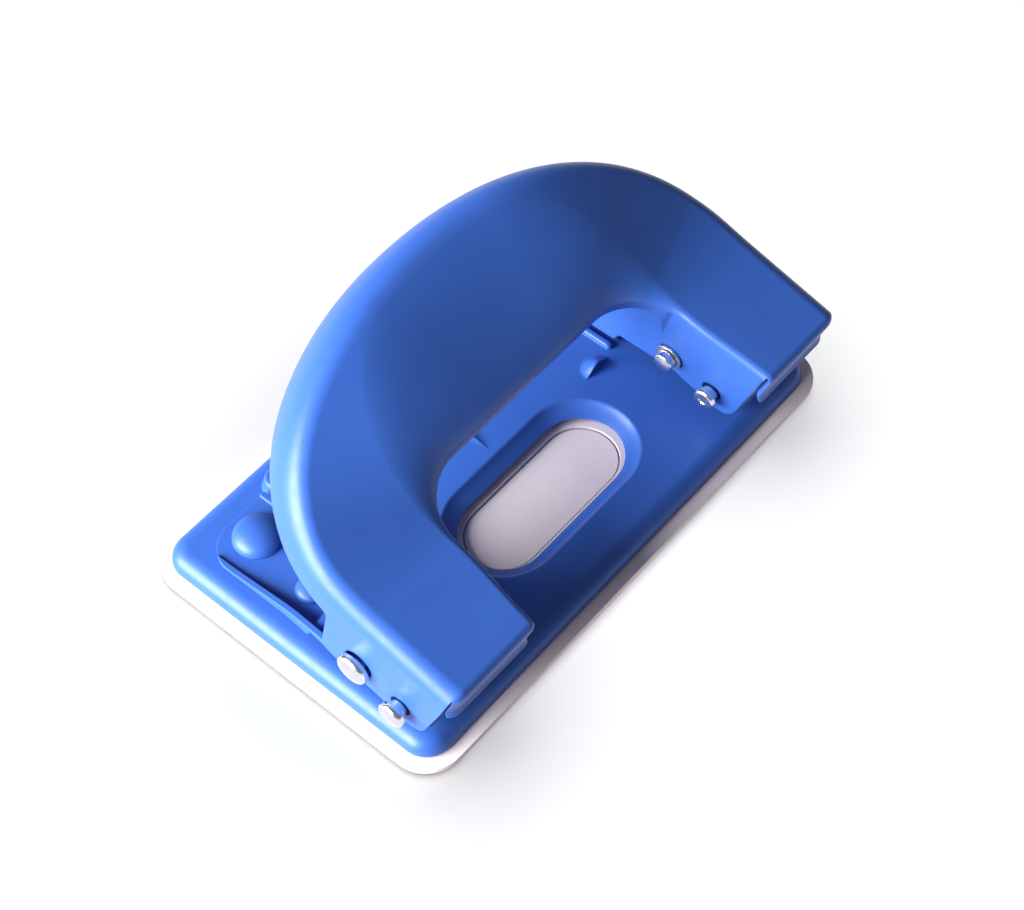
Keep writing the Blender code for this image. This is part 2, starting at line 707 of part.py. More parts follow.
def die(side, label, parts, look):
    """Hardened ring set into the base; its top edge shears the paper."""
    under = BASE_TOP - BASE_SHEET - GAP
    profile = [(DIE_BORE, BASE_TOP), (DIE_RADIUS, BASE_TOP), (DIE_RADIUS, under)]
    profile += [(DIE_FLANGE, under), (DIE_FLANGE, DIE_BOTTOM), (DIE_BORE + 0.4, DIE_BOTTOM)]
    profile.append(profile[0])
    made = turned(f"die_{label}", profile, parts, look, steps=28)
    made.location = (side * PUNCH_X * MM, PUNCH_Y * MM, 0)
    return made


def rivet(name, x, y, head_radius, head_height, parts, look):
    """Domed head on the bracket's foot, shank through the base, flat tail beneath."""
    seat = FOOT_BOTTOM + BRACKET_SHEET + 0.05
    under = BASE_TOP - BASE_SHEET - 0.1
    profile = [(0, seat + head_height)]
    for across, rise in arc((0, 0), 1.0, 68, 8, 5):
        profile.append((head_radius * across, seat + head_height * rise))
    profile += [(head_radius, seat), (1.8, seat), (1.8, under), (2.8, under)]
    profile += [(2.6, under - 0.7), (0, under - 0.8)]
    made = turned(name, profile, parts, look, steps=20)
    made.location = (x * MM, y * MM, 0)
    return made


def build():
    clear_scene()
    parts = collection("hole_punch")
    cutters = collection("cutters")
    blue = material("blue_paint", (0.055, 0.12, 0.52), 0.38)
    cream = material("tray_plastic", (0.80, 0.74, 0.72), 0.5)
    steel = material("bright_steel", (0.75, 0.75, 0.76), 0.22, 1.0)
    spring_wire = material("spring_wire", (0.45, 0.45, 0.47), 0.35, 1.0)
    axis = bpy.data.objects.new("hinge_axis", None)
    bpy.context.scene.collection.objects.link(axis)
    axis.location = (0, HINGE_Y * MM, HINGE_Z * MM)
    axis.rotation_euler = (OPEN_ANGLE, 0, 0)
    chip_tray(parts, cutters, cream)
    base_plate(parts, cutters, blue)
    shade(handle(parts, cutters, blue, axis))
    for side, label in ((-1, "left"), (1, "right")):
        bracket(side, label, parts, cutters, blue)
        hinge_pin(side, label, parts, steel)
        cross_pin(side, label, parts, steel)
        pin_clip(side, label, parts, steel)
        punch(side, label, parts, cutters, steel)
        die(side, label, parts, steel)
        return_spring(side, label, parts, spring_wire)
        x, y = RIVET_BACK
        rivet(f"back_rivet_{label}", side * x, y, 4.5, 2.6, parts, blue)
        x, y = RIVET_FRONT
        rivet(f"front_rivet_{label}", side * x, y, 2.8, 1.5, parts, blue)


build()
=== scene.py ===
"""Hole punch: fine pieces, finishes, floor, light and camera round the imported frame.

Sizes are in millimetres; MM turns them into metres where a mesh is made. X runs along
the base, Y from the front edge to the back, Z up from the table.
"""

import json
from math import cos, hypot, pi, radians, sin

import bmesh
import bpy
from mathutils import Matrix, Vector


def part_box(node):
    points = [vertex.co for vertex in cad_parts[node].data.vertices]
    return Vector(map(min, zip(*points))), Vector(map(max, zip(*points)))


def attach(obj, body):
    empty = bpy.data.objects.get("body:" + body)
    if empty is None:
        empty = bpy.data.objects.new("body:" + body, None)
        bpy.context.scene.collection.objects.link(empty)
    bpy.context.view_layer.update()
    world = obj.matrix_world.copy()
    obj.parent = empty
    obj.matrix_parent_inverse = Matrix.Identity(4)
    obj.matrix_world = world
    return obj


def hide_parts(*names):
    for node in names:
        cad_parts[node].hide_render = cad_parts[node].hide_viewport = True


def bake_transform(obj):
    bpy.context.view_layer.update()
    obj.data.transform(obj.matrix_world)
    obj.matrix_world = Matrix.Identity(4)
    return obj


MM = 0.001

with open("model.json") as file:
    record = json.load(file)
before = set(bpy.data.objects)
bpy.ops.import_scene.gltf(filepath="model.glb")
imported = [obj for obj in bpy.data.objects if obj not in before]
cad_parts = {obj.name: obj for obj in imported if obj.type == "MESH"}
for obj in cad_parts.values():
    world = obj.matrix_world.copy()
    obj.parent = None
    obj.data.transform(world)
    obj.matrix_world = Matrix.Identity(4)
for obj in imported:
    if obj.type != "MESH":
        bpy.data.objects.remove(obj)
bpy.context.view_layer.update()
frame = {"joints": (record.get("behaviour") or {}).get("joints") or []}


def node_box(name):
    """Lowest and highest corner of a CAD node, in millimetres."""
    return [[value / MM for value in corner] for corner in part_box(name)]


def middle(name, axis):
    low, high = node_box(name)
    return (low[axis] + high[axis]) / 2


def joint_anchor(name):
    for joint in frame["joints"]:
        if joint["name"] == name:
            return [value / MM for value in joint["pos_m"]]
    raise ValueError(name)


# Where the frame has things.
BASE_LOW, BASE_HIGH = node_box("base_plate")
FRONT, BACK = BASE_LOW[1], BASE_HIGH[1]
HALF_LENGTH = BASE_HIGH[0]
RIM_BOTTOM = BASE_LOW[2]
TRAY_RIM = node_box("chip_tray")[1][0] - HALF_LENGTH
HINGE_Y, HINGE_Z = joint_anchor("handle_press")[1:]
PUNCH_X = middle("punch_right", 0)
PUNCH_Y = middle("punch_right", 1)
PUNCH_LOW, PUNCH_HIGH = node_box("punch_right")
CROSS_Z = middle("cross_pin_right", 2)
BRACKET_LOW, BRACKET_HIGH = node_box("bracket_right")
PIN_LOW, PIN_HIGH = node_box("hinge_pin_right")
RIVET_BACK = (middle("back_rivet_right", 0), middle("back_rivet_right", 1))
RIVET_FRONT = (middle("front_rivet_right", 0), middle("front_rivet_right", 1))
DIE_BOTTOM = node_box("die_right")[0][2]
CLIP_X = middle("cross_pin_clip_right", 0)

# Base plate.
BASE_TOP = 5.7
BASE_SHEET = 1.0
BASE_CORNER = 4.8
# The rim's rounding reaches this far in from the edge, and starts at this height.
RIM_ROUND = 3.2
RIM_LOW = 2.8
OVAL_Y = FRONT + 19.7
OVAL_HALF_LENGTH = 18.0
OVAL_HALF_WIDTH = 7.75
DISH_DEPTH = 2.0
# Pressed dish round the oval: distance outside the hole, depth under the top, rounding.
DISH = ((3.2, 0, 0), (2.7, 0, 0.45), (1.9, 0.85, 0.7), (0, DISH_DEPTH, 0))
PANEL_HALF_LENGTH = 31.4
PANEL_FRONT = FRONT + 46.9
PANEL_BACK = FRONT + 57.5
PANEL_RISE = 2.4
PANEL_CORNER = 3.2
RIDGE_X = 30.5
RIDGE_HALF_WIDTH = 0.65
STOP_X = 25.4
STOP_Y = FRONT + 28.2
STOP_RADIUS = 3.5
STOP_HEIGHT = 1.9
MARK_Y = FRONT + 31.6
# Half width, length and height of the centre arrow.
MARK_SIZE = (1.5, 4.8, 0.7)
DIE_SEAT_RADIUS = 4.9
RIVET_HOLE_RADIUS = 2.1

# Chip tray.
TRAY_RIM_TOP = 2.2
TRAY_RIM_BOTTOM = 1.2
TRAY_FOOT_INSET = 1.6
TRAY_FLOOR = 1.2
TRAY_WALL = 1.2
TRAY_UPSTAND = 3.6
TRAY_UPSTAND_INSET = 1.6
WELL_WALL = 1.5
# Walls start inside the floor, and what is cut away is cut up to above the tray.
WALL_START = 0.5
CUT_TOP = 8.0
# Under the oval a ledge runs round the well's floor, with a thin groove between the two.
LEDGE_TOP = 2.4
LEDGE_INSET = -1.15
GROOVE = 0.3
GROOVE_DEPTH = 0.7
WELL_FLOOR = 2.1

# Bracket; its distances are measured from the base's front edge.
BRACKET_SHEET = 1.0
BRACKET_START = 2.5
BRACKET_BEND = 1.2
SLOT_TOP = 8.0
SLOT_BACK = 29.0
FOOT_BOTTOM = 6.0
FOOT_CORNER = 6.5
FOOT_NARROWING = 0.9
NARROWING_START = 22.0
NARROWING_LENGTH = 14.0
STEP_START = SLOT_BACK - 0.6
STEP_LENGTH = 1.6
GUIDE_HOLE_RADIUS = 3.2
PIN_HOLE_CLEARANCE = 0.15
PIN_SLOT_CLEARANCE = 0.2

# Handle, in its own frame: origin on the hinge axis, tilted back at rest.
OPEN_ANGLE = radians(20)
SHEET = 1.0
SHOE_INNER_X = 30.3
SHOE_OUTER_X = 49.2
SHOE_FRONT = -7.0
FRONT_BEND = 1.3
SMALLEST_FRONT_BEND = 0.25
SHOE_TOP = 14.57
SHOE_TOP_Y = 14.0
SHOE_FALL = 0.07
SHOE_FALL_END = 25.0
SHOE_ROUND = 3.3
SHOE_INNER_ROUND = 1.3
SHOE_EDGE_FRONT_X = 29.6
SHOE_EDGE_BACK_X = 28.3
FRONT_SKIRT_BOTTOM = 8.3
CROWN_TOP = 23.3
CROWN_INNER_EDGE = 15.5
CROWN_OUTER_EDGE = 8.9
# Share of the crown's width that each of its two curves takes, together under 1.
CROWN_INNER_SPAN = 0.76
CROWN_OUTER_SPAN = 0.23
CROWN_INNER_POWER = 1.45
CROWN_OUTER_POWER = 2.2
# The section has become the crown's after this part of the arch.
CROWN_START = 0.83
ARCH_START = 17.3
ARCH_DEPTH = 35.8
ARCH_POWER = 2.11
OPENING_BACK = 21.2
OPENING_CORNER = 10.7
FAN_START = OPENING_BACK - OPENING_CORNER
FAN_LENGTH = 68.0
CROSS_PIN_Y = 9.36
CROSS_PIN_Z = -0.3
# The slot's two ends and the window for the pin's head, from the pin's place at rest.
CROSS_SLOT_AHEAD = 0.6
CROSS_SLOT_BEHIND = 0.3
CROSS_WINDOW_SHIFT = (-0.1, 0.75)
CROSS_WINDOW_RADIUS = 2.75

# Pins, punch, rivets and spring.
HINGE_PIN_RADIUS = 1.5
HINGE_HOLE_CLEARANCE = 0.5
CROSS_PIN_RADIUS = 1.9
CROSS_SLOT_CLEARANCE = 0.3
CLIP_RADIUS = 2.6
CLIP_BORE = 1.6
CLIP_HALF_THICKNESS = 0.25
PUNCH_RADIUS = 2.9
PUNCH_STROKE = 3.8
# Radius and height of the rivets' heads.
BACK_RIVET_HEAD = (4.5, 2.6)
FRONT_RIVET_HEAD = (2.8, 1.5)
SHANK_RADIUS = 1.8
TAIL_RADIUS = 2.8
WIRE_RADIUS = 0.45
COIL_RADIUS = 2.45
COIL_TURNS = 3.29
COIL_GAP = 0.12
LOWER_LEG = 6.5
UPPER_LEG = 14.4

# Camera: where it stands, which way it looks and how far it is zoomed in.
CAMERA_PLACE = (-156.4, FRONT - 116.8, 309.8)
CAMERA_AZIMUTH = radians(-47.54)
CAMERA_ELEVATION = radians(54.84)
CAMERA_ROLL = radians(-2.36)
CAMERA_LENS = 76.1

FLOOR_HALF_WIDTH = 3000


# --- shapes -------------------------------------------------------------------------


def mix(first, second, amount):
    return first + (second - first) * amount


def smooth(amount):
    amount = min(max(amount, 0.0), 1.0)
    return amount * amount * (3 - 2 * amount)


def arc(centre, radius, start, end, steps):
    """Points on a circle arc, angles in degrees."""
    points = []
    for step in range(steps + 1):
        angle = radians(start + (end - start) * step / steps)
        points.append((centre[0] + radius * cos(angle), centre[1] + radius * sin(angle)))
    return points


def rounded_rectangle(low, high, radius, steps=12):
    (x0, y0), (x1, y1) = low, high
    outline = []
    for centre, start in (
        ((x1 - radius, y0 + radius), -90),
        ((x1 - radius, y1 - radius), 0),
        ((x0 + radius, y1 - radius), 90),
        ((x0 + radius, y0 + radius), 180),
    ):
        outline += arc(centre, radius, start, start + 90, steps)
    return outline


def stadium(centre_y, half_length, half_width, steps=24):
    straight = half_length - half_width
    right = arc((straight, centre_y), half_width, -90, 90, steps)
    return right + arc((-straight, centre_y), half_width, 90, 270, steps)


def softened(points, steps=5):
    """A line of (place, height, radius) corners with each corner rounded off."""
    line = [points[0][:2]]
    for before, here, after in zip(points, points[1:], points[2:]):
        centre = Vector(here[:2])
        if here[2] == 0:
            line.append(tuple(centre))
            continue
        back = Vector(before[:2]) - centre
        ahead = Vector(after[:2]) - centre
        start = centre + back.normalized() * min(here[2], back.length * 0.49)
        end = centre + ahead.normalized() * min(here[2], ahead.length * 0.49)
        for step in range(steps + 1):
            t = step / steps
            line.append(tuple(start.lerp(centre, t).lerp(centre.lerp(end, t), t)))
    line.append(points[-1][:2])
    return line


def height_at(line, place):
    """Height of a line of (place, height) points, level beyond its last point."""
    for (x0, z0), (x1, z1) in zip(line, line[1:]):
        if place <= x1:
            return z0 if x1 == x0 else mix(z0, z1, max(place - x0, 0) / (x1 - x0))
    return line[-1][1]


def added(name, data):
    """A new object in the scene."""
    obj = bpy.data.objects.new(name, data)
    bpy.context.scene.collection.objects.link(obj)
    return obj


def mesh_object(name, bm):
    """An object from a bmesh whose points are in millimetres."""
    bmesh.ops.scale(bm, vec=(MM, MM, MM), verts=bm.verts)
    mesh = bpy.data.meshes.new(name)
    bm.to_mesh(mesh)
    bm.free()
    return added(name, mesh)


def final_mesh(obj):
    """The mesh that an object's curve or modifiers make."""
    bpy.context.view_layer.update()
    graph = bpy.context.evaluated_depsgraph_get()
    return bpy.data.meshes.new_from_object(obj.evaluated_get(graph))


def applied(obj):
    """Makes the modifiers' result the object's own mesh."""
    made = final_mesh(obj)
    obj.modifiers.clear()
    obj.data = made
    return obj


def combine(obj, cutter, operation="DIFFERENCE"):
    boolean = obj.modifiers.new("boolean", "BOOLEAN")
    boolean.operation = operation
    boolean.object = cutter
    boolean.solver = "EXACT"
    applied(obj)
    bpy.data.objects.remove(cutter)
    return obj


def thicken(obj, thickness):
    solid = obj.modifiers.new("sheet", "SOLIDIFY")
    solid.thickness = thickness * MM
    solid.offset = -1
    solid.use_even_offset = True
    return applied(obj)


def shade(obj, angle=32):
    """Smooth shading that keeps broad flat faces flat and hard corners hard."""
    obj.data.shade_smooth()
    obj.data.set_sharp_from_angle(angle=radians(angle))
    even = obj.modifiers.new("even", "WEIGHTED_NORMAL")
    even.keep_sharp = True
    return applied(obj)


def bevel(obj, width, angle=40, segments=3):
    edge = obj.modifiers.new("edge", "BEVEL")
    edge.width = width * MM
    edge.segments = segments
    edge.limit_method = "ANGLE"
    edge.angle_limit = radians(angle)
    return applied(obj)


def turn_faces(bm, up):
    """Makes a sheet's faces agree, the greater part of them facing up, or else down."""
    bmesh.ops.recalc_face_normals(bm, faces=bm.faces)
    facing_up = sum(face.normal.z * face.calc_area() for face in bm.faces) > 0
    if facing_up != up:
        bmesh.ops.reverse_faces(bm, faces=bm.faces)


def ring_faces(bm, first, second):
    count = len(first)
    for index in range(count):
        following = (index + 1) % count
        bm.faces.new((first[index], first[following], second[following], second[index]))


def grid_faces(bm, rows):
    for first, second in zip(rows, rows[1:]):
        for index in range(len(first) - 1):
            bm.faces.new(
                (first[index], first[index + 1], second[index + 1], second[index])
            )


def ring(bm, outline, height):
    return [bm.verts.new((x, y, height)) for x, y in outline]


def stack(name, levels):
    """A closed solid through (outline, height) levels of the same count."""
    bm = bmesh.new()
    rings = [ring(bm, outline, height) for outline, height in levels]
    for lower, upper in zip(rings, rings[1:]):
        ring_faces(bm, lower, upper)
    bm.faces.new(reversed(rings[0]))
    bm.faces.new(rings[-1])
    bmesh.ops.recalc_face_normals(bm, faces=bm.faces)
    return mesh_object(name, bm)


def prism(name, outline, low, high, plane="XY"):
    """A flat outline made solid between two heights along the third axis."""
    bm = bmesh.new()
    rings = [ring(bm, outline, height) for height in (low, high)]
    ring_faces(bm, *rings)
    bm.faces.new(reversed(rings[0]))
    bm.faces.new(rings[1])
    if plane == "YZ":
        turn = Matrix(((0, 0, 1), (1, 0, 0), (0, 1, 0))).to_4x4()
        bmesh.ops.transform(bm, matrix=turn, verts=bm.verts)
    bmesh.ops.recalc_face_normals(bm, faces=bm.faces)
    return mesh_object(name, bm)


def side_span(side, inner, outer):
    """Two places along X on one side of the punch, the lower first."""
    return sorted((side * inner, side * outer))


def circle(centre, radius, sides=40):
    return arc(centre, radius, 0, 360 - 360 / sides, sides - 1)


def turned(name, profile, steps=64):
    """A solid of revolution about Z; the profile runs along the axis or closes on itself."""
    bm = bmesh.new()
    rings = []
    for radius, height in profile:
        if radius == 0:
            rings.append([bm.verts.new((0, 0, height))] * steps)
        else:
            rings.append(ring(bm, circle((0, 0), radius, steps), height))
    for first, second in zip(rings, rings[1:]):
        for index in range(steps):
            following = (index + 1) % steps
            face = [first[index], first[following], second[following], second[index]]
            unique = list(dict.fromkeys(face))
            if len(unique) > 2:
                bm.faces.new(unique)
    bmesh.ops.recalc_face_normals(bm, faces=bm.faces)
    return mesh_object(name, bm)


def placed(obj, x, y, z, side=0):
    """Moves a turned piece; with a side it is laid along X, its low end inwards."""
    turn = Matrix.Rotation(side * pi / 2, 4, "Y")
    obj.data.transform(Matrix.Translation((x * MM, y * MM, z * MM)) @ turn)
    return obj


def mirrored(obj):
    """The same mesh on the other side of the middle plane."""
    obj.data.transform(Matrix.Scale(-1, 4, (1, 0, 0)))
    obj.data.flip_normals()
    return obj


# --- finishes -----------------------------------------------------------------------


def add_node(tree, kind, **values):
    node = tree.nodes.new(kind)
    for name, value in values.items():
        setattr(node, name, value)
    return node


def noise(tree, scale, detail=2.0, stretch=None):
    """Noise in the piece's own coordinates; scale is in cells per metre."""
    place = add_node(tree, "ShaderNodeTexCoord").outputs["Object"]
    if stretch:
        mapping = add_node(tree, "ShaderNodeMapping")
        mapping.inputs["Scale"].default_value = stretch
        tree.links.new(place, mapping.inputs["Vector"])
        place = mapping.outputs["Vector"]
    texture = add_node(tree, "ShaderNodeTexNoise")
    texture.inputs["Scale"].default_value = scale
    texture.inputs["Detail"].default_value = detail
    tree.links.new(place, texture.inputs["Vector"])
    return texture.outputs["Fac"]


def spread(tree, value, low, high):
    """Maps 0.3 to 0.7 of a noise onto low to high."""
    ranged = add_node(tree, "ShaderNodeMapRange")
    ranged.inputs["From Min"].default_value = 0.3
    ranged.inputs["From Max"].default_value = 0.7
    ranged.inputs["To Min"].default_value = low
    ranged.inputs["To Max"].default_value = high
    tree.links.new(value, ranged.inputs["Value"])
    return ranged.outputs["Result"]


def blend_colours(tree, amount, first, second):
    mixer = add_node(tree, "ShaderNodeMix", data_type="RGBA")
    tree.links.new(amount, mixer.inputs["Factor"])
    for socket, colour in ((6, first), (7, second)):
        if isinstance(colour, tuple):
            mixer.inputs[socket].default_value = (*colour, 1.0)
        else:
            tree.links.new(colour, mixer.inputs[socket])
    return mixer.outputs[2]


def bumped(tree, height, strength, distance, normal=None):
    bump = add_node(tree, "ShaderNodeBump")
    bump.inputs["Strength"].default_value = strength
    bump.inputs["Distance"].default_value = distance * MM
    tree.links.new(height, bump.inputs["Height"])
    if normal:
        tree.links.new(normal, bump.inputs["Normal"])
    return bump.outputs["Normal"]


def rounded_normal(tree, radius):
    """A normal that rounds off sharp edges."""
    soft = add_node(tree, "ShaderNodeBevel", samples=6)
    soft.inputs["Radius"].default_value = radius * MM
    return soft.outputs["Normal"]


def edge_mask(tree, rounded):
    """1 on a sharp edge and 0 away from it, from how far the rounded normal turns."""
    flat = add_node(tree, "ShaderNodeNewGeometry")
    dot = add_node(tree, "ShaderNodeVectorMath", operation="DOT_PRODUCT")
    tree.links.new(rounded, dot.inputs[0])
    tree.links.new(flat.outputs["Normal"], dot.inputs[1])
    edge = add_node(tree, "ShaderNodeMapRange")
    edge.inputs["From Min"].default_value = 0.99
    edge.inputs["From Max"].default_value = 0.8
    tree.links.new(dot.outputs["Value"], edge.inputs["Value"])
    return edge.outputs["Result"]


def finish(name):
    made = bpy.data.materials.new(name)
    made.use_nodes = True
    tree = made.node_tree
    return made, tree, tree.nodes["Principled BSDF"]


def paint_finish():
    """Satin stoving enamel: orange peel, slow colour drift, and a painted highlight in
    lighter blue along sharp edges.
    """
    made, tree, shader = finish("blue_enamel")
    normal = rounded_normal(tree, radius=0.22)
    drift = spread(tree, noise(tree, 60), 0, 1)
    colour = blend_colours(tree, drift, (0.027, 0.084, 0.355), (0.031, 0.093, 0.385))
    # Painted highlight: a lighter blue is mixed in along sharp edges, patchy by a noise,
    # where light would catch the rounded edges.
    patchy_edge_highlight = spread(tree, noise(tree, 900, 4), 0.1, 0.5)
    amount = add_node(tree, "ShaderNodeMath", operation="MULTIPLY")
    tree.links.new(edge_mask(tree, normal), amount.inputs[0])
    tree.links.new(patchy_edge_highlight, amount.inputs[1])
    colour = blend_colours(tree, amount.outputs[0], colour, (0.12, 0.30, 0.80))
    tree.links.new(colour, shader.inputs["Base Color"])
    tree.links.new(spread(tree, noise(tree, 500, 4), 0.36, 0.44), shader.inputs["Roughness"])
    peel = bumped(tree, noise(tree, 1500, 3), 0.25, 0.03, normal)
    tree.links.new(peel, shader.inputs["Normal"])
    shader.inputs["Specular IOR Level"].default_value = 0.32
    return made


def plastic_finish():
    """Moulded off-white plastic with a fine eroded grain."""
    made, tree, shader = finish("moulded_plastic")
    normal = rounded_normal(tree, radius=0.25)
    drift = spread(tree, noise(tree, 90, 3), 0, 1)
    colour = blend_colours(tree, drift, (0.60, 0.505, 0.55), (0.64, 0.54, 0.585))
    tree.links.new(colour, shader.inputs["Base Color"])
    tree.links.new(spread(tree, noise(tree, 700, 4), 0.42, 0.58), shader.inputs["Roughness"])
    grain = bumped(tree, noise(tree, 2600, 2), 0.3, 0.03, normal)
    tree.links.new(grain, shader.inputs["Normal"])
    shader.inputs["Subsurface Weight"].default_value = 0.05
    shader.inputs["Subsurface Radius"].default_value = (0.002, 0.0012, 0.001)
    return made


def steel_finish(name, colour, roughness, streaks, depth):
    """Metal with fine marks; streaks scales them along each axis."""
    made, tree, shader = finish(name)
    normal = rounded_normal(tree, radius=0.12)
    marks = noise(tree, 1800, 5, streaks)
    tone = blend_colours(
        tree, spread(tree, marks, 0, 1), tuple(part * 0.82 for part in colour), colour
    )
    tree.links.new(tone, shader.inputs["Base Color"])
    tree.links.new(spread(tree, marks, *roughness), shader.inputs["Roughness"])
    shader.inputs["Metallic"].default_value = 1.0
    tree.links.new(bumped(tree, marks, 0.2, depth, normal), shader.inputs["Normal"])
    return made


def floor_finish():
    """Pale matt studio sheet."""
    made, tree, shader = finish("studio_sheet")
    tone = spread(tree, noise(tree, 25, 3), 0, 1)
    colour = blend_colours(tree, tone, (0.90, 0.90, 0.90), (0.92, 0.92, 0.92))
    tree.links.new(colour, shader.inputs["Base Color"])
    shader.inputs["Roughness"].default_value = 0.9
    shader.inputs["Specular IOR Level"].default_value = 0.1
    return made


FINISHES = {
    "blue_paint": paint_finish(),
    "tray_plastic": plastic_finish(),
    "bright_steel": steel_finish(
        "plated_steel", colour=(0.86, 0.86, 0.88), roughness=(0.16, 0.26),
        streaks=(1, 1, 6), depth=0.003,
    ),
    "ground_steel": steel_finish(
        "ground_steel", colour=(0.66, 0.66, 0.68), roughness=(0.22, 0.4),
        streaks=(1, 1, 12), depth=0.012,
    ),
    "spring_wire": steel_finish(
        "drawn_wire", colour=(0.42, 0.42, 0.44), roughness=(0.25, 0.42),
        streaks=(1, 1, 1), depth=0.006,
    ),
}


def piece(obj, body, node, slot):
    """Gives a piece the finish named by its slot, hangs it on its body if it has one, and
    hides the CAD node it replaces.
    """
    obj.data.materials.clear()
    obj.data.materials.append(FINISHES[slot])
    if body:
        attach(obj, body)
    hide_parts(node)
    return obj


# --- base plate ---------------------------------------------------------------------


def base_outline(inset):
    half = HALF_LENGTH - inset
    return rounded_rectangle(
        (-half, FRONT + inset), (half, BACK - inset), BASE_CORNER - inset
    )


def base_sheet():
    """Top sheet, rounded rim all round and the dish of the oval."""
    bm = bmesh.new()
    rings = [ring(bm, base_outline(0), RIM_BOTTOM)]
    for across, rise in arc((0, 0), 1.0, 180, 90, 14):
        inset = RIM_ROUND * (1 + across)
        rings.append(ring(bm, base_outline(inset), mix(RIM_LOW, BASE_TOP, rise)))
    for lower, upper in zip(rings, rings[1:]):
        ring_faces(bm, lower, upper)
    lip = []
    for spread_out, depth in softened(DISH):
        outline = stadium(
            OVAL_Y, OVAL_HALF_LENGTH + spread_out, OVAL_HALF_WIDTH + spread_out
        )
        lip.append(ring(bm, outline, BASE_TOP - depth))
    for upper, lower in zip(lip, lip[1:]):
        ring_faces(bm, upper, lower)
    edges = []
    for loop in (rings[-1], lip[0]):
        for first, second in zip(loop, loop[1:] + loop[:1]):
            edges.append(bm.edges.get((first, second)))
    bmesh.ops.triangle_fill(bm, use_beauty=True, edges=edges, normal=(0, 0, 1))
    turn_faces(bm, up=True)
    return thicken(mesh_object("base_plate", bm), BASE_SHEET)


def paper_stop(x):
    """A soft bump lanced up from the sheet, upright on the side that the paper meets."""
    profile = [(0, STOP_HEIGHT)]
    for step in range(1, 13):
        rise = (1 + cos(pi * step / 12)) / 2
        profile.append((STOP_RADIUS * step / 12, STOP_HEIGHT * rise - 0.03))
    profile += [(STOP_RADIUS, -0.5), (0, -0.5)]
    stop = placed(turned("paper_stop", profile), x, STOP_Y, BASE_TOP)
    ahead = rounded_rectangle((x - 6, STOP_Y - 8), (x + 6, STOP_Y), 0.1, 1)
    return combine(stop, prism("ahead", ahead, 3, 12))


def back_panel():
    """The raised stiffening panel between the two brackets, with a soft edge."""
    levels = [(0, -0.5), (0, 0.02), (0.1, 0.12), (0.28, 0.4), (0.5, 1.4)]
    levels += arc((1.25, PANEL_RISE - 0.7), 0.7, 165, 90, 6)
    rings = []
    for inset, rise in levels:
        low = (-PANEL_HALF_LENGTH + inset, PANEL_FRONT + inset)
        high = (PANEL_HALF_LENGTH - inset, PANEL_BACK - inset)
        outline = rounded_rectangle(low, high, PANEL_CORNER - inset)
        rings.append((outline, BASE_TOP + rise))
    return stack("back_panel", rings)


def side_ridge(side):
    """Low bead on the sheet beside each bracket, behind the paper slot."""
    rings = []
    for inset, rise in [(0, -0.3), (0, 0.05)] + arc((0.5, 0.5), 0.5, 180, 90, 5):
        half_width = RIDGE_HALF_WIDTH - inset
        low = (side * RIDGE_X - half_width, SLOT_BACK + FRONT + 0.2 + 2.8 * inset)
        high = (side * RIDGE_X + half_width, PANEL_FRONT + 1)
        outline = rounded_rectangle(low, high, half_width - 0.01)
        rings.append((outline, BASE_TOP + rise))
    return stack("side_ridge", rings)


def centre_mark():
    """Small pressed arrow at the middle of the sheet, pointing to the front."""
    half_width, length, height = MARK_SIZE
    back = MARK_Y + length
    base = [(-half_width, back), (half_width, back), (0, MARK_Y)]
    bm = bmesh.new()
    under = ring(bm, base, BASE_TOP - 0.3)
    edge = ring(bm, base, BASE_TOP)
    peak = bm.verts.new((0, back - 0.6, BASE_TOP + height))
    ring_faces(bm, under, edge)
    bm.faces.new(reversed(under))
    for index in range(3):
        bm.faces.new((edge[index], edge[(index + 1) % 3], peak))
    bmesh.ops.recalc_face_normals(bm, faces=bm.faces)
    return mesh_object("centre_mark", bm)


def make_base_plate():
    """The pressed sheet with its holes, paper stops, beads, back panel and arrow."""
    plate = base_sheet()
    for side in (-1, 1):
        seat = circle((side * PUNCH_X, PUNCH_Y), DIE_SEAT_RADIUS)
        combine(plate, prism("seat", seat, 0, 12))
        for x, y in (RIVET_BACK, RIVET_FRONT):
            hole = circle((side * x, y), RIVET_HOLE_RADIUS)
            combine(plate, prism("rivet_hole", hole, 3, 7))
        combine(plate, paper_stop(side * STOP_X), "UNION")
        combine(plate, side_ridge(side), "UNION")
    combine(plate, back_panel(), "UNION")
    combine(plate, centre_mark(), "UNION")
    return piece(shade(plate), "base", "base_plate", "blue_paint")


# --- chip tray ----------------------------------------------------------------------


def tray_outline(spread_out):
    half = HALF_LENGTH + spread_out
    low = (-half, FRONT - spread_out)
    return rounded_rectangle(low, (half, BACK + spread_out), BASE_CORNER + spread_out)


def well_window(spread_out, low):
    """Cutter in the oval's outline, open upwards from the given height."""
    outline = stadium(
        OVAL_Y, OVAL_HALF_LENGTH + spread_out, OVAL_HALF_WIDTH + spread_out
    )
    return prism("window", outline, low, CUT_TOP)


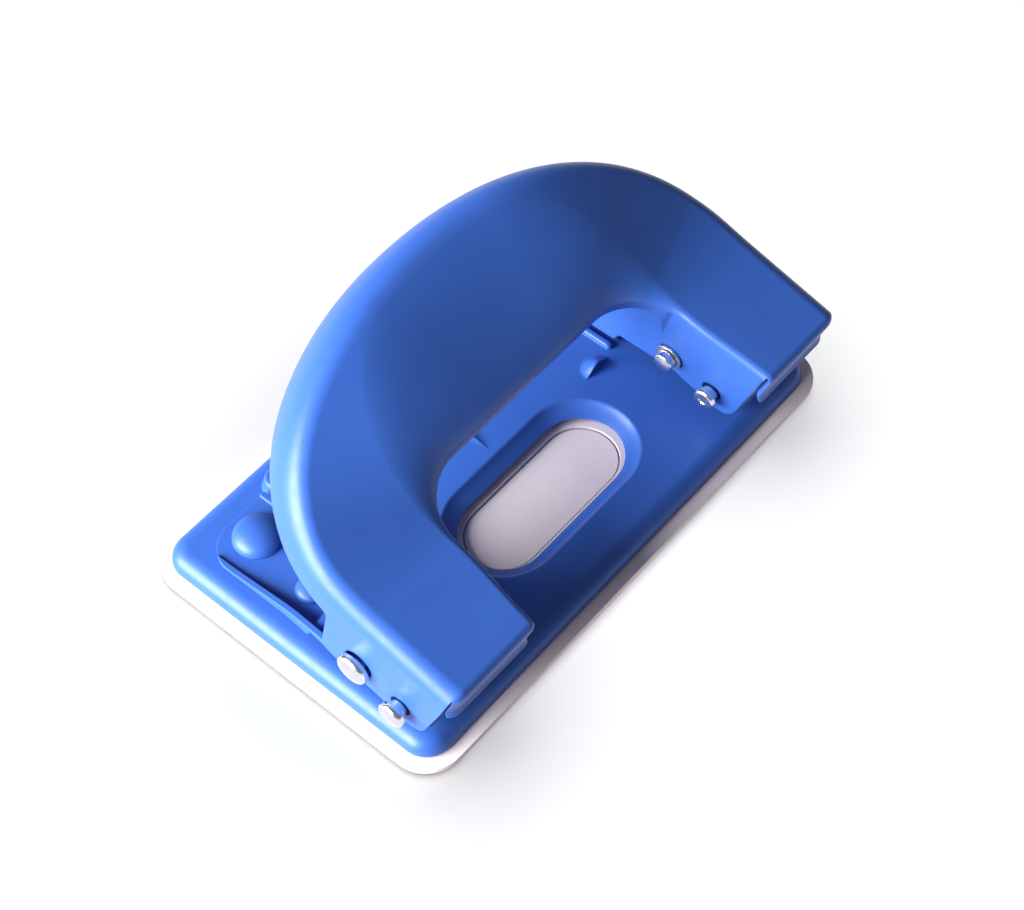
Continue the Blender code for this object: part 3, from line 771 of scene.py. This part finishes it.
def make_chip_tray():
    """Rim on a smaller foot, hollowed inside its upstand, with a well under the oval."""
    tray = prism("tray", tray_outline(TRAY_RIM), TRAY_RIM_BOTTOM, TRAY_RIM_TOP)
    foot = tray_outline(TRAY_RIM - TRAY_FOOT_INSET)
    combine(tray, prism("foot", foot, 0, TRAY_RIM_BOTTOM + 0.2), "UNION")
    inset = TRAY_UPSTAND_INSET
    upstand = base_outline(inset)
    combine(tray, prism("upstand", upstand, WALL_START, TRAY_UPSTAND), "UNION")
    hollow = base_outline(inset + TRAY_WALL)
    combine(tray, prism("hollow", hollow, TRAY_FLOOR, CUT_TOP))
    wall = stadium(OVAL_Y, OVAL_HALF_LENGTH + WELL_WALL, OVAL_HALF_WIDTH + WELL_WALL)
    combine(tray, prism("wall", wall, WALL_START, LEDGE_TOP), "UNION")
    groove = well_window(LEDGE_INSET + GROOVE, WELL_FLOOR - GROOVE_DEPTH)
    combine(groove, well_window(LEDGE_INSET, 0))
    combine(tray, groove)
    combine(tray, well_window(LEDGE_INSET + GROOVE, WELL_FLOOR))
    bevel(tray, 0.25)
    return piece(shade(tray), "tray", "chip_tray", "tray_plastic")


# --- bracket ------------------------------------------------------------------------

# Upper edges of the inner and the outer wall: distance, height and rounding.
WALL_TOP = softened(
    (
        (BRACKET_START, 15.5, 0), (5.0, 18.5, 2), (9.0, 21.0, 2), (13.2, 22.8, 3),
        (18.7, 23.6, 3),
        (22.0, 23.2, 2), (25.0, 21.0, 2), (28.6, 17.2, 1), (30.2, 15.0, 1),
        (33.0, 11.2, 1), (35.4, 8.6, 1.5), (44.0, 7.4, 3), (60.0, 7.3, 0),
    )
)
OUTER_WALL = softened(
    (
        (BRACKET_START, 15.5, 0), (5.0, 18.5, 2), (9.0, 21.0, 2), (13.2, 22.8, 3),
        (18.7, 23.6, 3),
        (21.6, 23.2, 1.5), (24.6, 10.6, 1.5), (31.0, 9.6, 2), (38.0, 8.7, 3),
        (47.0, 7.6, 3), (60.0, 7.3, 0),
    )
)


def bracket_section(distance):
    """Across one bracket from its inner wall's top edge to its outer wall's."""
    inner, outer = BRACKET_LOW[0], BRACKET_HIGH[0]
    floor = mix(SLOT_TOP, FOOT_BOTTOM, smooth((distance - STEP_START) / STEP_LENGTH))
    top = height_at(WALL_TOP, distance)
    outer_top = height_at(OUTER_WALL, distance)
    outer -= FOOT_NARROWING * smooth((distance - NARROWING_START) / NARROWING_LENGTH)
    radius = min(BRACKET_BEND, top - floor - 0.05, outer_top - floor - 0.05)
    section = [(inner, top)]
    section += arc((inner + radius, floor + radius), radius, 180, 270, 6)
    section += arc((outer - radius, floor + radius), radius, 270, 360, 6)
    return section + [(outer, outer_top)]


def make_bracket(side, label):
    """One folded sheet: channel over the paper slot, stepped down to a foot behind it."""
    back = BRACKET_HIGH[1] - FRONT
    stations = [BRACKET_START + 0.8 * step for step in range(32)]
    # Closer together over the step down to the foot.
    stations += [27.8, 28.3, 28.6, 28.9, 29.2, 29.5, 29.8, 30.1]
    stations += [30.6 + step for step in range(30)]
    bm = bmesh.new()
    rows = []
    for distance in [place for place in sorted(stations) if place < back - 0.4] + [back]:
        points = bracket_section(distance)
        rows.append([bm.verts.new((x, FRONT + distance, z)) for x, z in points])
    grid_faces(bm, rows)
    turn_faces(bm, up=False)
    made = thicken(mesh_object(f"bracket_{label}", bm), BRACKET_SHEET)
    margin = 3
    side_x = BRACKET_HIGH[0] - FOOT_NARROWING
    centre = (side_x - FOOT_CORNER, BRACKET_HIGH[1] - FOOT_CORNER)
    beyond = (side_x + margin, BRACKET_HIGH[1] + margin)
    outline = arc(centre, FOOT_CORNER, 0, 90, 16)
    outline += [(centre[0], beyond[1]), beyond, (beyond[0], centre[1])]
    combine(made, prism("corner", outline, 4, 12))
    guide = circle((PUNCH_X, PUNCH_Y), GUIDE_HOLE_RADIUS)
    combine(made, prism("guide", guide, 6, 12))
    span = (BRACKET_LOW[0] - margin, BRACKET_HIGH[0] + margin)
    hole = circle((HINGE_Y, HINGE_Z), HINGE_PIN_RADIUS + PIN_HOLE_CLEARANCE)
    combine(made, prism("pin_hole", hole, *span, plane="YZ"))
    reach = CROSS_PIN_RADIUS + PIN_SLOT_CLEARANCE
    slot = arc((PUNCH_Y, CROSS_Z), reach, 0, 180, 16)
    slot += arc((PUNCH_Y, CROSS_Z - PUNCH_STROKE), reach, 180, 360, 16)
    combine(made, prism("slot", slot, *span, plane="YZ"))
    for x, y in (RIVET_BACK, RIVET_FRONT):
        combine(made, prism("rivet_hole", circle((x, y), RIVET_HOLE_RADIUS), 5, 8))
    if side < 0:
        mirrored(made)
    return piece(shade(made), "base", f"bracket_{label}", "blue_paint")


# --- handle -------------------------------------------------------------------------

# Lower edges of the outer and the inner flange. The first number is the distance behind
# the hinge axis in the shoe, and the length along the arch after it.
OUTER_EDGE = softened(
    (
        (-5.7, 9.4, 0), (-5.2, -3.6, 3.6), (5.9, -4.1, 2), (13.2, -5.3, 2),
        (16.1, -5.0, 1.3), (17.6, 6.9, 1.2), (24.1, 7.6, 2), (36.3, 8.5, 3),
        (44.5, 8.6, 3), (FAN_START + FAN_LENGTH, 8.6, 0),
    )
)
INNER_EDGE = softened(
    (
        (-5.7, 9.4, 0), (-5.2, -3.6, 3.6), (5.9, -4.1, 2), (13.4, -3.4, 2.5),
        (16.8, 8.2, 2), (19.6, 11.2, 1.5), (36.3, 11.5, 3), (52.7, 11.7, 3),
        (FAN_START + FAN_LENGTH, 11.7, 0),
    )
)
SECTION_STEPS = 18


def opening_point(fraction):
    """Inner edge of the arch in plan: round the shoe's corner, then across."""
    straight = SHOE_EDGE_BACK_X - OPENING_CORNER
    quarter = OPENING_CORNER * pi / 2
    along = fraction * (quarter + straight)
    if along < quarter:
        angle = along / OPENING_CORNER
        y = OPENING_BACK - OPENING_CORNER * (1 - sin(angle))
        return straight + OPENING_CORNER * cos(angle), y
    return straight - (along - quarter), OPENING_BACK


def arch_point(fraction):
    """Outer edge of the arch in plan: a short straight, then a squarish ellipse quarter."""
    straight = 0.1
    if fraction < straight:
        return SHOE_OUTER_X, mix(FAN_START, ARCH_START, fraction / straight)
    angle = (fraction - straight) / (1 - straight) * pi / 2
    x = SHOE_OUTER_X * max(cos(angle), 0.0) ** (2 / ARCH_POWER)
    return x, ARCH_START + ARCH_DEPTH * sin(angle) ** (2 / ARCH_POWER)


def shoe_top(y):
    """The shoe's flat top falls a little towards the back, where the arch rises from it."""
    return SHOE_TOP + SHOE_FALL * (SHOE_TOP_Y - min(y, SHOE_FALL_END))


def shell_section(inner, outer, amount, flange_foot, skirt_low):
    """Across the shell; amount is 0 in the shoe and 1 in the arch's crown."""
    width = hypot(outer[0] - inner[0], outer[1] - inner[1])
    inner_span = mix(SHOE_INNER_ROUND / width, CROWN_INNER_SPAN, amount)
    outer_span = mix(SHOE_ROUND / width, CROWN_OUTER_SPAN, amount)
    inner_power = mix(2.0, CROWN_INNER_POWER, amount)
    outer_power = mix(2.0, CROWN_OUTER_POWER, amount)
    flat = shoe_top(outer[1])
    inner_edge = mix(flat - SHOE_INNER_ROUND, CROWN_INNER_EDGE, amount)
    outer_edge = mix(flat - SHOE_ROUND, CROWN_OUTER_EDGE, amount)
    top = mix(flat, CROWN_TOP, amount)
    profile = []
    for step in range(SECTION_STEPS + 1):
        angle = step / SECTION_STEPS * pi / 2
        across = inner_span * (1 - cos(angle) ** (2 / inner_power))
        profile.append((across, mix(inner_edge, top, sin(angle) ** (2 / inner_power))))
    for step in range(SECTION_STEPS, -1, -1):
        angle = step / SECTION_STEPS * pi / 2
        across = 1 - outer_span * (1 - cos(angle) ** (2 / outer_power))
        profile.append((across, mix(outer_edge, top, sin(angle) ** (2 / outer_power))))
    profile.append((1.0, skirt_low))
    points = [flange_foot]
    for across, height in profile:
        x = mix(inner[0], outer[0], across)
        y = mix(inner[1], outer[1], across)
        points.append((x, y, height))
    return points


def handle_stations():
    places = [place for place, height in OUTER_EDGE + INNER_EDGE]
    places += [SHOE_FRONT + FRONT_BEND + 0.8 * step for step in range(105)]
    end = FAN_START + FAN_LENGTH
    kept = []
    for place in sorted(places):
        if place < end - 0.3 and (not kept or place - kept[-1] > 0.04):
            kept.append(place)
    return kept + [end]


def handle_row(place):
    """Section of the shell at a place along the shoe and then along the arch."""
    outer_low = height_at(OUTER_EDGE, place)
    inner_low = height_at(INNER_EDGE, place)
    if place < FAN_START:
        narrowing = smooth((place - SHOE_FRONT) / (FAN_START - SHOE_FRONT))
        x = mix(SHOE_EDGE_FRONT_X, SHOE_EDGE_BACK_X, narrowing)
        foot = (SHOE_INNER_X, place, inner_low)
        return shell_section((x, place), (SHOE_OUTER_X, place), 0.0, foot, outer_low)
    fraction = (place - FAN_START) / FAN_LENGTH
    x, y = opening_point(fraction)
    foot_x = max(x, mix(SHOE_INNER_X, x, smooth(inner_low / OPENING_CORNER)))
    amount = smooth(fraction / CROWN_START)
    foot = (foot_x, y, inner_low)
    return shell_section((x, y), arch_point(fraction), amount, foot, outer_low)


def front_bend(bm, row):
    """Bends the shoe's top down over the front; the corners stay open, as pressed."""
    half = SECTION_STEPS // 2
    columns = row[1 + half : 2 * SECTION_STEPS + 3 - half]
    top = max(point.co.z for point in columns)

    def bend_radius(point):
        """Smaller towards the two corners, which rounds them in plan."""
        return max(FRONT_BEND - (top - point.co.z), SMALLEST_FRONT_BEND)

    rows = [columns]
    for angle in [radians(15 * step) for step in range(1, 7)]:
        bent = []
        for point in columns:
            radius = bend_radius(point)
            y = SHOE_FRONT + FRONT_BEND - radius * sin(angle)
            z = point.co.z - radius * (1 - cos(angle))
            bent.append(bm.verts.new((point.co.x, y, z)))
        rows.append(bent)
    for flare, rise in ((0, 1.3), (0.25, 0.6), (0.7, 0)):
        hanging = []
        for point in columns:
            y = SHOE_FRONT + FRONT_BEND - bend_radius(point) - flare
            hanging.append(bm.verts.new((point.co.x, y, FRONT_SKIRT_BOTTOM + rise)))
        rows.append(hanging)
    grid_faces(bm, rows)


def make_handle():
    """Half a shell, mirrored and made thick, pierced for the pins, tilted back to rest."""
    bm = bmesh.new()
    rows = [[bm.verts.new(point) for point in handle_row(s)] for s in handle_stations()]
    grid_faces(bm, rows)
    front_bend(bm, rows[0])
    turn_faces(bm, up=True)
    shell = mesh_object("handle", bm)
    mirror = shell.modifiers.new("other half", "MIRROR")
    mirror.merge_threshold = 1e-5
    applied(shell)
    thicken(shell, SHEET)
    for side in (-1, 1):
        span = side_span(side, SHOE_INNER_X - 2, SHOE_OUTER_X + 2)
        hole = circle((0, 0), HINGE_PIN_RADIUS + HINGE_HOLE_CLEARANCE)
        combine(shell, prism("hinge_hole", hole, *span, plane="YZ"))
        reach = CROSS_PIN_RADIUS + CROSS_SLOT_CLEARANCE
        slot = arc((CROSS_PIN_Y + CROSS_SLOT_BEHIND, CROSS_PIN_Z), reach, -90, 90, 16)
        slot += arc((CROSS_PIN_Y - CROSS_SLOT_AHEAD, CROSS_PIN_Z), reach, 90, 270, 16)
        combine(shell, prism("cross_hole", slot, *span, plane="YZ"))
        shift_y, shift_z = CROSS_WINDOW_SHIFT
        centre = (CROSS_PIN_Y + shift_y, CROSS_PIN_Z + shift_z)
        wide = circle(centre, CROSS_WINDOW_RADIUS)
        span = side_span(side, SHOE_OUTER_X - 4, SHOE_OUTER_X + 2)
        combine(shell, prism("cross_window", wide, *span, plane="YZ"))
    tilt = Matrix.Rotation(OPEN_ANGLE, 4, "X")
    place = Matrix.Translation((0, HINGE_Y * MM, HINGE_Z * MM))
    shell.data.transform(place @ tilt)
    return piece(shade(shell), "lever", "handle", "blue_paint")


# --- pins, punches, springs, dies, rivets ------------------------------------------------


def make_hinge_pin(side, label):
    """Shaft through four walls; both ends are headed over a short neck."""
    inner, outer = PIN_LOW[0], PIN_HIGH[0]
    radius = HINGE_PIN_RADIUS
    profile = [(0, outer)] + arc((0.9, outer - 0.9), 0.9, 90, 60, 2)
    profile += arc((1.6, outer - 0.9), 0.9, 55, 0, 6)
    profile += [(2.5, outer - 1.3), (2.4, outer - 1.45), (radius, outer - 1.5)]
    profile += [(radius, inner + 1.25), (1.95, inner + 1.2), (2.1, inner + 1.05)]
    profile += arc((1.45, inner + 0.65), 0.65, 0, -75, 6)
    profile += [(0.9, inner + 0.06), (0.75, inner + 0.2), (0, inner + 0.22)]
    pin = placed(turned(f"hinge_pin_{label}", profile), 0, HINGE_Y, HINGE_Z, side)
    return piece(shade(pin), "base", f"hinge_pin_{label}", "bright_steel")


def make_cross_pin(side, label):
    """Drives the punch: headed outside, grooved for a clip at its inner end."""
    low, high = node_box("cross_pin_right")
    inner, outer = low[0], high[0]
    radius = CROSS_PIN_RADIUS
    profile = [(0, outer), (1.4, outer - 0.06)]
    profile += arc((2.1, outer - 0.9), 0.9, 75, 0, 8)
    profile += [(3.0, outer - 1.35), (2.9, outer - 1.5), (radius, outer - 1.6)]
    profile += [(radius, inner + 2.3), (1.35, inner + 2.25), (1.35, inner + 1.45)]
    profile += [(radius, inner + 1.4), (radius, inner + 0.35)]
    profile += arc((radius - 0.35, inner + 0.35), 0.35, 0, -80, 4)
    profile += [(0, inner)]
    pin = placed(turned(f"cross_pin_{label}", profile), 0, PUNCH_Y, CROSS_Z, side)
    return piece(shade(pin), f"punch_{label}", f"cross_pin_{label}", "bright_steel")


def make_clip(side, label):
    """Snap ring in the groove of the cross pin, open on one side."""
    outline = arc((PUNCH_Y, CROSS_Z), CLIP_RADIUS, -60, 240, 40)
    outline += arc((PUNCH_Y, CROSS_Z), CLIP_BORE, 240, -60, 40)
    span = (side * CLIP_X - CLIP_HALF_THICKNESS, side * CLIP_X + CLIP_HALF_THICKNESS)
    clip = prism(f"cross_pin_clip_{label}", outline, *span, plane="YZ")
    bevel(clip, 0.08, segments=2)
    return piece(shade(clip), f"punch_{label}", f"cross_pin_clip_{label}", "ground_steel")


def make_punch(side, label):
    """Round punch, hollow-ground at its cutting end, drilled for the cross pin."""
    top, tip = PUNCH_HIGH[2], PUNCH_LOW[2]
    profile = [(0, top), (2.3, top), (2.72, top - 0.18), (PUNCH_RADIUS, top - 0.6)]
    profile += [(PUNCH_RADIUS, tip + 1.6), (PUNCH_RADIUS - 0.05, tip + 1.5)]
    profile += [(PUNCH_RADIUS - 0.05, tip), (2.1, tip + 0.42), (1.4, tip + 0.7)]
    profile += [(0.7, tip + 0.85), (0, tip + 0.9)]
    made = placed(turned(f"punch_{label}", profile), side * PUNCH_X, PUNCH_Y, 0)
    span = side_span(side, PUNCH_X - 5, PUNCH_X + 5)
    hole = circle((PUNCH_Y, CROSS_Z), CROSS_PIN_RADIUS + PIN_SLOT_CLEARANCE)
    combine(made, prism("drilling", hole, *span, plane="YZ"))
    return piece(shade(made), f"punch_{label}", f"punch_{label}", "ground_steel")


def make_die(side, label):
    """Hardened ring set into the base; its top edge shears the paper."""
    under = BASE_TOP - BASE_SHEET - 0.3
    bore, radius, flange = 3.05, 4.6, 5.8
    low = DIE_BOTTOM
    profile = [(bore, BASE_TOP - 0.02), (bore + 0.1, BASE_TOP), (radius - 0.2, BASE_TOP)]
    profile += [(radius, BASE_TOP - 0.15), (radius, under), (flange - 0.2, under)]
    profile += [(flange, under - 0.2), (flange, low + 0.1), (flange - 0.1, low)]
    profile += [(bore + 0.4, low), (bore + 0.15, low + 1.2), (bore, BASE_TOP - 1)]
    profile.append(profile[0])
    made = placed(turned(f"die_{label}", profile), side * PUNCH_X, PUNCH_Y, 0)
    bm = bmesh.new()
    bm.from_mesh(made.data)
    bmesh.ops.remove_doubles(bm, verts=bm.verts, dist=1e-7)
    bmesh.ops.recalc_face_normals(bm, faces=bm.faces)
    bm.to_mesh(made.data)
    bm.free()
    return piece(shade(made), "base", f"die_{label}", "ground_steel")


def make_rivet(spot, side, label, place, head):
    """Domed head on the bracket's foot, shank through the base, flat tail beneath."""
    head_radius, head_height = head
    seat = FOOT_BOTTOM + BRACKET_SHEET + 0.05
    under = BASE_TOP - BASE_SHEET - 0.1
    profile = [(0, seat + head_height)]
    for across, rise in arc((0, 0), 1.0, 84, 6, 13):
        profile.append((head_radius * across, seat + head_height * rise))
    profile += [(head_radius, seat), (SHANK_RADIUS, seat), (SHANK_RADIUS, under)]
    profile.append((TAIL_RADIUS, under))
    profile += arc((TAIL_RADIUS - 0.6, under - 0.2), 0.6, 0, -90, 5)
    profile.append((0, under - 0.8))
    name = f"{spot}_rivet_{label}"
    made = placed(turned(name, profile), side * place[0], place[1], 0)
    return piece(shade(made), "base", name, "blue_paint")


def spring_path():
    """Lower leg over the bracket's floor, coils round the hinge pin, leg up the handle."""
    first_x = BRACKET_LOW[0] + BRACKET_SHEET + WIRE_RADIUS + 0.4
    pitch = 2 * WIRE_RADIUS + COIL_GAP
    floor_leg = HINGE_Z - COIL_RADIUS
    points = []
    for step in range(9):
        points.append((first_x, HINGE_Y + LOWER_LEG - 0.75 * step, floor_leg))
    count = 120
    for index in range(count + 1):
        turn = COIL_TURNS * index / count
        angle = -pi / 2 - turn * 2 * pi
        y = HINGE_Y + COIL_RADIUS * cos(angle)
        points.append((first_x + turn * pitch, y, HINGE_Z + COIL_RADIUS * sin(angle)))
    last_x, last_y, last_z = points[-1]
    for step in range(1, 19):
        reach = UPPER_LEG * step / 18
        points.append((last_x, last_y + reach * sin(angle), last_z - reach * cos(angle)))
    return points, first_x, last_x


def make_spring(side, label):
    """Torsion spring on the hinge pin; it is tied to no body."""
    points, first_x, last_x = spring_path()
    name = f"return_spring_{label}"
    curve = bpy.data.curves.new(name, "CURVE")
    curve.dimensions = "3D"
    curve.bevel_depth = WIRE_RADIUS * MM
    curve.bevel_resolution = 4
    curve.use_fill_caps = True
    spline = curve.splines.new("POLY")
    spline.points.add(len(points) - 1)
    for point, (x, y, z) in zip(spline.points, points):
        point.co = (side * x * MM, y * MM, z * MM, 1.0)
    guide = added(name + "_path", curve)
    made = added(name, final_mesh(guide))
    bpy.data.objects.remove(guide)
    shade(made, angle=60)
    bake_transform(made)
    return piece(made, None, name, "spring_wire")


# --- floor, light, camera --------------------------------------------------------------


def add_floor():
    bm = bmesh.new()
    bmesh.ops.create_grid(bm, x_segments=8, y_segments=8, size=FLOOR_HALF_WIDTH)
    floor = mesh_object("studio_floor", bm)
    floor.data.materials.append(floor_finish())
    return floor


def link_light(lamp, obj, state):
    """INCLUDE: the lamp lights that object alone. EXCLUDE: it lights all but that object."""
    group = bpy.data.collections.new(lamp.name + " receivers")
    group.objects.link(obj)
    group.collection_objects[0].light_linking.link_state = state
    lamp.light_linking.receiver_collection = group


def add_light(name, direction, distance, width, height, watts, colour):
    """A soft box that looks at the middle of the punch; distance and sizes in metres."""
    lamp = bpy.data.lights.new(name, "AREA")
    lamp.shape = "RECTANGLE"
    lamp.size = width
    lamp.size_y = height
    lamp.energy = watts
    lamp.color = colour
    holder = added(name, lamp)
    toward = Vector(direction).normalized()
    holder.location = toward * distance + Vector((0, 0, 0.015))
    holder.rotation_euler = toward.to_track_quat("Z", "Y").to_euler()
    return holder


def add_world(strength):
    world = bpy.data.worlds.new("studio")
    world.use_nodes = True
    background = world.node_tree.nodes["Background"]
    background.inputs["Color"].default_value = (0.95, 0.97, 1.0, 1.0)
    background.inputs["Strength"].default_value = strength
    bpy.context.scene.world = world


def add_camera():
    lens = bpy.data.cameras.new("camera")
    lens.lens = CAMERA_LENS
    lens.sensor_width = 36.0
    lens.sensor_fit = "HORIZONTAL"
    lens.clip_start = 0.01
    holder = added("camera", lens)
    turn, tip, roll = CAMERA_AZIMUTH, CAMERA_ELEVATION, CAMERA_ROLL
    back = Vector((sin(turn) * cos(tip), -cos(turn) * cos(tip), sin(tip)))
    level = Vector((cos(turn), sin(turn), 0))
    upright = back.cross(level)
    right = level * cos(roll) + upright * sin(roll)
    up = upright * cos(roll) - level * sin(roll)
    axes = Matrix((right, up, back)).transposed()
    holder.matrix_world = Matrix.Translation(Vector(CAMERA_PLACE) * MM) @ axes.to_4x4()
    bpy.context.scene.camera = holder


make_chip_tray()
make_base_plate()
make_handle()
for side, label in ((-1, "left"), (1, "right")):
    make_bracket(side, label)
    make_hinge_pin(side, label)
    make_cross_pin(side, label)
    make_clip(side, label)
    make_punch(side, label)
    make_die(side, label)
    make_spring(side, label)
    make_rivet("back", side, label, RIVET_BACK, BACK_RIVET_HEAD)
    make_rivet("front", side, label, RIVET_FRONT, FRONT_RIVET_HEAD)

floor = add_floor()
key = add_light(
    "key", direction=(-0.86, 0.38, 0.37), distance=0.9, width=0.9, height=0.6,
    watts=50.0, colour=(0.93, 1.0, 0.98),
)
link_light(key, floor, "EXCLUDE")
backdrop = add_light(
    "backdrop", direction=(0, 0, 1), distance=1.5, width=2.5, height=2.5,
    watts=42.0, colour=(1.0, 1.0, 1.0),
)
link_light(backdrop, floor, "INCLUDE")
add_world(strength=0.2)
add_camera()
bpy.context.scene.view_settings.view_transform = "Standard"
